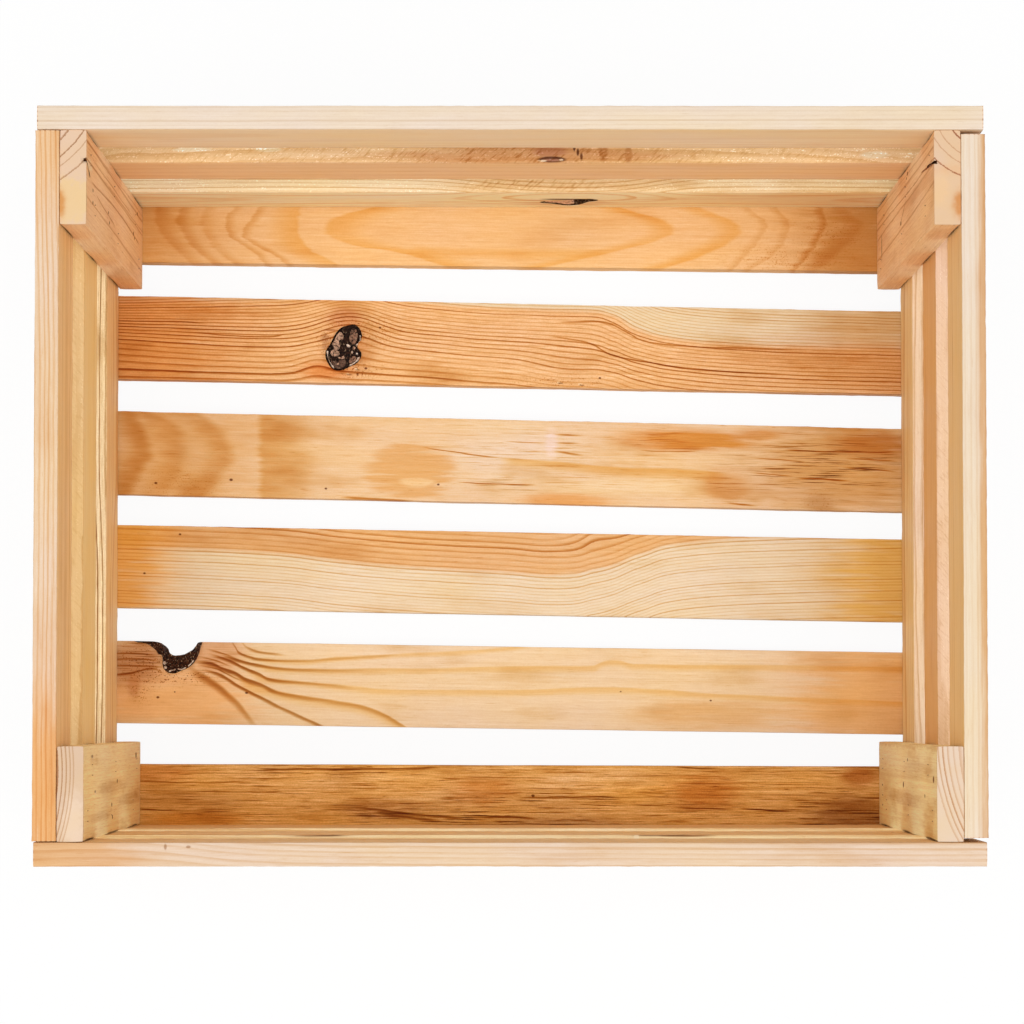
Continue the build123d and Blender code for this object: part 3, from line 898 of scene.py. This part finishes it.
fix_floor_slat(
    5, seed=25, heart=((237, 209, 170), (150, 86, 28)), wander=1.5, fibres=0.2, gold=2.5, line=0.0,
    pith=[(-249, -30, -63), (249, -15, -83)], dashes=0.1, blotch=0.15,
    veins=[
        ([(-192, 6.9), (-186, 4), (-180, 0.5), (-175, -2.9), (-169, -8), (-164, -12.5), (-156, -22),
         (-152, -27)], 5, 3, [(-192, 0.6), (-180, 0.65), (-168, 0.5), (-152, 0.2)]),
        ([(-184, 7.6), (-177, 5.7), (-172, 3.4), (-166, -0.3), (-160, -3.5), (-151, -8), (-135, -15.5),
         (-116, -23.8), (-108, -27)], 2.2, 1.2, [(-184, 0.5), (-176, 0.9), (-160, 0.9), (-135, 0.6),
         (-108, 0.6)]),
        ([(-188, 13.3), (-180, 12), (-174, 9.2), (-166, 6.3), (-160, 2.9), (-151, 0), (-141, -4.7),
         (-128, -7.2), (-108, -9.7), (-86, -13.8), (-66, -23), (-60, -27)], 3.0, 1.2, [(-188, 0.8),
         (-175, 1.0), (-155, 0.9), (-138, 0.5), (-110, 0.3), (-60, 0.28)]),
        ([(-180, 17.5), (-169, 13.8), (-160, 9.2), (-151, 5.7), (-145, 3), (-125, 1.2), (-95, -1.3)], 2.2,
         1.0, [(-180, 0.6), (-165, 1.0), (-150, 0.8), (-130, 0.4), (-95, 0.1)]),
        ([(-173, 17), (-163, 13.8), (-151, 11), (-135, 9.2), (-111, 8.7), (-86, 9.5)], 2.0, 1.0,
         [(-173, 0.8), (-160, 0.95), (-150, 0.7), (-125, 0.35), (-86, 0.1)]),
        ([(-168, 25), (-166, 22), (-164, 19), (-157, 16), (-151, 14.7), (-135, 14.2), (-103, 16.2),
         (-70, 18.7)], 1.8, 1.0, [(-168, 0.9), (-150, 0.65), (-120, 0.25), (-70, 0.15)]),
        ([(-162, 25), (-159, 22), (-151, 19.3), (-138, 18)], 1.6, 1.0, 0.5),
        ([(-186, 10.5), (-178, 8.9), (-170, 5), (-162, 1.5)], 1.0, 0.7, 0.6),
        ([(-186, 16), (-178, 14), (-170, 11)], 1.0, 0.7, 0.6),
        ([(-182, 20.5), (-174, 18.6), (-166, 15.4)], 1.0, 0.7, 0.6),
        ([(-242, 4), (-230, 5.4), (-224, 6.9), (-217, 8.4), (-211, 6.3)], 1.2, 0.8, 0.7),
        ([(-242, 9.6), (-224, 10), (-211, 9.6)], 0.9, 0.7, 0.6),
        ([(-242, 13.6), (-226, 14.2), (-213, 13)], 0.9, 0.7, 0.6),
        ([(-242, 17.2), (-230, 17.6), (-216, 16.6)], 0.9, 0.7, 0.6),
    ],
    gold_veins=[
        ([(-165, 5.3), (-156, -0.5), (-141, -4.7), (-128, -7.2), (-108, -9.7), (-86, -13.8), (-66, -23),
         (-60, -27)], 7, 1.5, 0.3),
        ([(-158, 7.8), (-145, 2.8), (-125, 1.2), (-95, -1.3), (-61, -3), (-28, -2.7), (2, -2.2), (63, 0),
         (120, -2.5), (249, -6)], 4.5, 1.5, 0.26),
        ([(-153, 11.2), (-135, 8.7), (-111, 8.7), (-86, 9.5), (-45, 10.3), (2, 12), (50, 13), (63, 16.5),
         (76, 14.5), (249, 15)], 4, 1.5, 0.26),
        ([(-153, 14.5), (-135, 13.7), (-103, 16.2), (-70, 18.7), (-28, 21.2), (10, 25)], 3, 1.5, 0.24),
    ],
    stains=[
        ((-205, -8), (50, 22), (242, 178, 104), 0.7), ((-226, 13), (20, 15), (184, 120, 68), 0.8),
        ((-227, -2.5), (4, 7), (196, 126, 68), 0.6), ((-177, 18), (16, 12), (212, 142, 92), 0.5),
        # The last mark, wide at the right end, is painted shade: darker and more orange towards the end
        # wall.
        ((122, -15), (44, 9), (222, 166, 92), 0.6), ((228, -10), (60, 50), (235, 170, 86), 0.65),
    ],
    streaks=[((-224, 13), (16, 11), 0.8), ((-178, 12), (14, 12), 0.6)],
    soot=[((-222, 13), (13, 9), 0.45), ((-184, 10), (6, 10), 0.3)],
    dots=[
        ((-222, 14), (13, 10), 1.0), ((-208, 3), (16, 3.5), 1.4), ((-222, -2), (6, 8), 0.8),
        ((-190, 4), (7, 3), 0.8),
    ],
    pins=[(-212.5, -9, 0.7), (-159, -5.5, 0.7), (121.5, -6, 0.5), (-202.4, -5.6, 0.4), (67, -1.4, 0.4)],
)
fix_floor_slat(
    6, seed=26, heart=((231, 173, 94), (132, 66, 8)), ring=3.4, pith=[(-249, 55, -20), (249, 58, -20)],
    line=0.0, wander=6.0, dashes=0.8, fibres=0.8, gold=6.0,
    veins=[
        ([(-150, 21.6), (-90, 21), (-44, 22)], 1.2, 0.8, 0.8),
        ([(-228, 14), (-190, 13), (-160, 14)], 0.8, 0.6, 0.4),
        ([(-92, -2.6), (-60, -5.6), (-30, -7)], 1.6, 1.0, 0.8), ([(-78, -6), (-44, -9)], 2.0, 1.2, 0.8),
        ([(-18, -7), (0, -6.6), (16, -7.6)], 1.1, 0.7, 0.8),
        ([(6, 4.6), (30, 4.2), (58, 4.8)], 0.9, 0.7, 0.9), ([(140, -1.4), (168, -2.2)], 0.7, 0.6, 1.6),
        ([(74, 0.4), (92, 0)], 0.6, 0.5, 1.0), ([(104, -1), (134, -1.4)], 0.6, 0.5, 1.0),
        ([(100, 22.6), (124, 22)], 0.8, 0.7, 0.9), ([(-38, 15.4), (-30, 15)], 0.7, 0.6, 0.9),
        ([(-228, -3.6), (-200, -4)], 0.7, 0.6, 0.8), ([(-8, -14.6), (18, -15.2)], 1.0, 0.7, 0.8),
    ],
    stains=[
        ((-215, 19), (24, 6), (208, 128, 52), 0.6), ((-195, 1), (34, 7), (204, 148, 88), 0.5),
        ((-190, -10), (30, 5), (216, 138, 44), 0.7), ((-75, -3), (24, 7), (176, 112, 54), 0.6),
        ((-95, 14), (24, 6), (232, 180, 112), 0.6), ((55, 15), (34, 6), (234, 186, 126), 0.7),
        ((-15, 8), (20, 8), (208, 128, 40), 0.7), ((118, 8), (22, 11), (196, 116, 36), 0.85),
        ((160, 4), (12, 14), (226, 170, 98), 0.5), ((30, -13), (60, 6), (184, 126, 70), 0.6),
        ((208, -6), (28, 14), (160, 94, 38), 0.75), ((211, 18), (10, 6), (192, 112, 36), 0.8),
    ],
    streaks=[
        ((0, 0), (500, 90), 0.7), ((-120, 21), (70, 4), 1.2), ((-150, 1), (40, 7), 0.9),
        ((-66, -7), (36, 6), 2.0), ((-10, -7), (30, 4), 1.6), ((25, 3), (40, 4), 1.4),
        ((25, -14), (60, 6), 1.6), ((122, 0), (24, 5), 1.2), ((200, -6), (30, 16), 1.8),
    ],
    pins=[(14, 5.5, 0.8)],
)

# Dead knot in the second floor slat: a branch that died and was grown over, so that its bark and
# dried resin sit loose in the board. A dark pit is cut, and what is left of the knot stands in it.
knot_turn = floor_turn(2)
pit_outline = [
    (-103.5, 7.8), (-98.6, 10), (-94, 10.4), (-90.8, 7.5), (-89.8, 2.5), (-92.4, -2.5), (-89.8, -7),
    (-91.6, -12), (-97, -15.4), (-102, -17.6), (-106.4, -17.2), (-110.4, -13), (-111.8, -7), (-108.8, -1),
]
knot_islands = [
    ("grey", [(-103.2, 6), (-100.8, 3.8), (-101.4, 1.6), (-103.4, 0.6), (-102.8, -1.4), (-103.2, -4),
     (-104.4, -5), (-103.2, -6.2), (-103.4, -8), (-105.4, -9), (-108.2, -8.5), (-108.6, -5.6), (-107, -4.6),
     (-108, -1.4), (-106.4, 1.6), (-105, 4.6)], -0.2),
    ("brown", [(-95, 8.7), (-92.6, 6.4), (-92.6, 1.7), (-94.6, -1.4), (-97.2, 0.3), (-97.4, 5)], -0.5),
    ("bowl", [(-108.2, -10), (-107, -11.6), (-104.4, -11.4), (-100.4, -10.4), (-98.8, -12.5),
     (-99.6, -14.8), (-102.9, -16.6), (-106.2, -15.8), (-108.4, -13)], -1.2),
    ("grey", [(-107, -11.8), (-105, -12.8), (-102.6, -13), (-102.8, -14), (-105.4, -14), (-107.2, -13)],
     -0.7),
    ("grey", [(-104.4, -9.6), (-102.4, -9), (-100.4, -8.4), (-99.4, -9.6), (-101, -10.4), (-103, -10.6)],
     -0.5), ("brown", [(-96, -9), (-93.6, -8.6), (-92.8, -10), (-95, -12.6), (-97.2, -13)], -0.9),
    ("pale", [(-99.3, -1.4), (-97.7, -1.4), (-96.5, -2.6), (-97.4, -3.4), (-98.8, -2.8)], -0.3),
    ("pale", [(-96.4, -5.6), (-95.2, -5.4), (-95, -6.6), (-96.2, -7)], -0.4),
    ("pale", [(-93.2, -6.4), (-92, -6.6), (-91.8, -7.4), (-93, -7.6)], -0.3),
    ("grey", [(-95.4, -2.8), (-93.8, -2.6), (-93.6, -4.2), (-95, -4.6)], -0.6),
    ("pale", [(-91.2, 4.4), (-90.4, 2), (-91.2, 0), (-93, -2.6), (-93.6, -2.4), (-92, 0), (-91.2, 2)],
     -0.3),
    ("pale", [(-90.6, -9.2), (-93.2, -12.6), (-97, -14.6), (-97.2, -14), (-93.8, -11.8), (-91.4, -8.8)],
     -0.3),
    ("pale", [(-111, -5.6), (-110.7, -9), (-109, -13.2), (-106.4, -16.4), (-106, -15.9), (-108.4, -12.8),
     (-110, -8.8), (-110.2, -5.6)], -0.4),
]
knot_woods = {
    "black": bark("knot_bark", 3, (8, 3, 2), (52, 30, 20), 0.35),
    "grey": bark("knot_grey", 5, (44, 25, 17), (206, 166, 140), 0.7),
    "brown": bark("knot_brown", 7, (28, 14, 9), (156, 116, 94), 0.7),
    "bowl": bark("knot_bowl", 8, (44, 27, 20), (108, 80, 66), 0.2),
    "pale": bark("knot_resin", 9, (170, 130, 100), (246, 230, 214), 0.5),
}
proud = 1.5
pit_layers = [(pit_outline, -3.5, proud)]
pit_lumps = (1.2 * mm, 0.4 * mm)
pit = lumpy_block("knot_pit", "floor_slat_2", knot_turn, pit_layers, knot_woods["black"], *pit_lumps)
cut_out(floor_boards[2], pit)
island_foot = -4.5
island_lumps = (0.9 * mm, 1.1 * mm)
islands = []
for tint, outline, top in knot_islands:
    layers = [(outline, island_foot, top)]
    wood = knot_woods[tint]
    islands.append(lumpy_block("knot", "floor_slat_2", knot_turn, layers, wood, *island_lumps))
join_to(floor_boards[2], islands)

# Knot hole in the fifth floor slat: the knot broke out of the far edge and left its bark behind.
# Stepped layers give the hole its slanting wall, and bits of pale resin stand on its lip.
hole_turn = floor_turn(5)
hole_upper = [
    (-187.4, 30), (-187.4, 20), (-191.7, 11.2), (-199.2, 6.9), (-204.7, 5.4), (-209.5, 8.5), (-210.4, 16),
    (-212, 22), (-212, 30),
]
hole_lower = [
    (-189.6, 30), (-191.4, 22.5), (-196.4, 18.2), (-201, 16.8), (-205.6, 16.8), (-208, 20), (-209.6, 24),
    (-211, 30), (-200, 34),
]
through = -15.0
step_drop = 2.8
hole_steps = 5
hole_layers = []
for step in range(hole_steps):
    share = step / (hole_steps - 1)
    outline = [
        (u0 + (u1 - u0) * share, v0 + (v1 - v0) * share)
        for (u0, v0), (u1, v1) in zip(hole_upper, hole_lower)
    ]
    foot = through if step == hole_steps - 1 else -step_drop * (step + 1)
    hole_layers.append((outline, foot, proud))
wedge_outline = [
    (-228, 26.5), (-218.5, 22.6), (-215, 19.8), (-211.4, 16.6), (-207, 20), (-208, 27),
]
slope_outline = [
    (-227, 26.2), (-219, 25), (-212.4, 23.8), (-208.6, 20.8), (-206.2, 17.4), (-202, 24), (-202, 32),
    (-227, 32),
]
hole_layers.append((wedge_outline, -5.0, proud))
hole_layers.append((slope_outline, through, proud))
hole_lumps = (2 * mm, 0.5 * mm)
bark_lining = bark("knot_hole_bark", 11, (5, 2, 1), (84, 46, 26), 1.0)
hole = lumpy_block("knot_hole", "floor_slat_5", hole_turn, hole_layers, bark_lining, *hole_lumps)
cut_out(floor_boards[5], hole)
hole_lips = [
    [(-210, 12.4), (-208.9, 12.8), (-208.2, 11.6), (-209.2, 10.8)],
    [(-209.4, 9.6), (-208.2, 9.9), (-207.6, 8.6), (-208.8, 8.2)],
    [(-206.4, 6.9), (-204.2, 7.8), (-202.2, 8.2), (-202.2, 7.7), (-204.2, 7.2), (-206, 6.4)],
    [(-201, 8.3), (-198.4, 8.5), (-196, 9.5), (-195.8, 9.1), (-198.2, 7.9), (-200.8, 7.8)],
    [(-194.8, 10.2), (-193, 12), (-191.6, 14), (-191.2, 13.8), (-192.6, 11.4), (-194.4, 9.7)],
]
lip_lumps = (0.8 * mm, 0.4 * mm)
lips = []
for outline in hole_lips:
    layers = [(outline, -5.0, -0.5)]
    lips.append(lumpy_block("lip", "floor_slat_5", hole_turn, layers, knot_woods["pale"], *lip_lumps))
join_to(floor_boards[5], lips)

# Staples: bent from flat galvanised wire and driven just below the surface, two to a joint. Their
# shape is the CAD model's; the points that come through the posts are stained by the wood.
wire = bpy.data.materials.new("galvanised_wire")
wire.use_nodes = True
wire_tree = wire.node_tree
wire_shader = wire_tree.nodes["Principled BSDF"]
spot = Grain(wire_tree.nodes.new("ShaderNodeTexCoord").outputs["Object"])
zinc = spot.speckle((900.0, 900.0, 900.0), 3.0)
rust = spot.speckle((260.0, 260.0, 260.0), 7.0, detail=4.0).rise(0.05, 0.25)
steel = (zinc + 0.5).mixed(srgb(120, 122, 126), srgb(170, 172, 174))
steel = (rust * 0.6).mixed(steel, srgb(104, 68, 46))
inside_posts = (0.2235, 0.226)
tip = 1 - spot.parts()[0].math("ABSOLUTE").rise(*inside_posts)
steel = tip.mixed(steel, srgb(150, 100, 56))
wire_tree.links.new((1 - tip).socket, wire_shader.inputs["Metallic"])
wire_tree.links.new(steel.socket, wire_shader.inputs["Base Color"])
wire_tree.links.new((rust * 0.3 + zinc * 0.2 + 0.4).socket, wire_shader.inputs["Roughness"])
for name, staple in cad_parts.items():
    if name.endswith("_staples"):
        staple.data.materials.clear()
        staple.data.materials.append(wire)

# The ground that the crate stands on, and the light and camera round it: a matt white sheet that
# keeps the crate's shadow, an even sky, one large soft lamp, and a camera straight above.
bpy.ops.object.select_all(action="DESELECT")
bpy.ops.mesh.primitive_plane_add(size=12, location=(0, 0, -0.5 * mm))
ground = bpy.context.object
ground.name = "ground"
paper = bpy.data.materials.new("white_ground")
paper.use_nodes = True
paper_tree = paper.node_tree
paper_tree.nodes.clear()
rays = paper_tree.nodes.new("ShaderNodeLightPath")
seen = Grain(rays.outputs["Is Camera Ray"]).math("MAXIMUM", Grain(rays.outputs["Is Glossy Ray"]))
seen = seen.math("MAXIMUM", Grain(rays.outputs["Is Transmission Ray"])) * 0.92
matt = seen.node("ShaderNodeBsdfDiffuse", {}, {"Color": (0.9, 0.9, 0.9, 1)})
glow = seen.node("ShaderNodeEmission", {}, {"Color": (1, 1, 1, 1), "Strength": 1.0})
sheet = seen.node("ShaderNodeMixShader", {}, {0: seen, 1: matt, 2: glow})
paper_out = paper_tree.nodes.new("ShaderNodeOutputMaterial")
paper_tree.links.new(sheet.socket, paper_out.inputs["Surface"])
ground.data.materials.append(paper)

world = bpy.data.worlds.new("studio")
bpy.context.scene.world = world
world.use_nodes = True
world_tree = world.node_tree
sky_light = 0.49
sky_rays = Grain(world_tree.nodes.new("ShaderNodeLightPath").outputs["Is Camera Ray"])
sky = world_tree.nodes["Background"]
world_tree.links.new((sky_rays * (1 - sky_light) + sky_light).socket, sky.inputs["Strength"])
sky.inputs["Color"].default_value = (1, 1, 1, 1)

lamp = bpy.data.lights.new("soft_box", "AREA")
lamp.shape = "RECTANGLE"
lamp.size = 6.0
lamp.size_y = 3.6
lamp.energy = 212
soft_box = bpy.data.objects.new("soft_box", lamp)
soft_box.location = (0.0, -0.85, 5.0)
soft_box.rotation_euler = (Vector((0, 0, 0)) - soft_box.location).to_track_quat("-Z", "Y").to_euler()
bpy.context.scene.collection.objects.link(soft_box)

view = bpy.data.cameras.new("view_from_above")
view.sensor_width = 36
view.lens = 102.01
view.shift_y = 0.10
camera = bpy.data.objects.new("view_from_above", view)
camera.location = (-2.2 * mm, -118.6 * mm, 1766.9 * mm)
camera.rotation_euler = (math.radians(1.906), -math.radians(0.115), 0)
bpy.context.scene.collection.objects.link(camera)
bpy.context.scene.camera = camera
bpy.context.scene.view_settings.view_transform = "Standard"
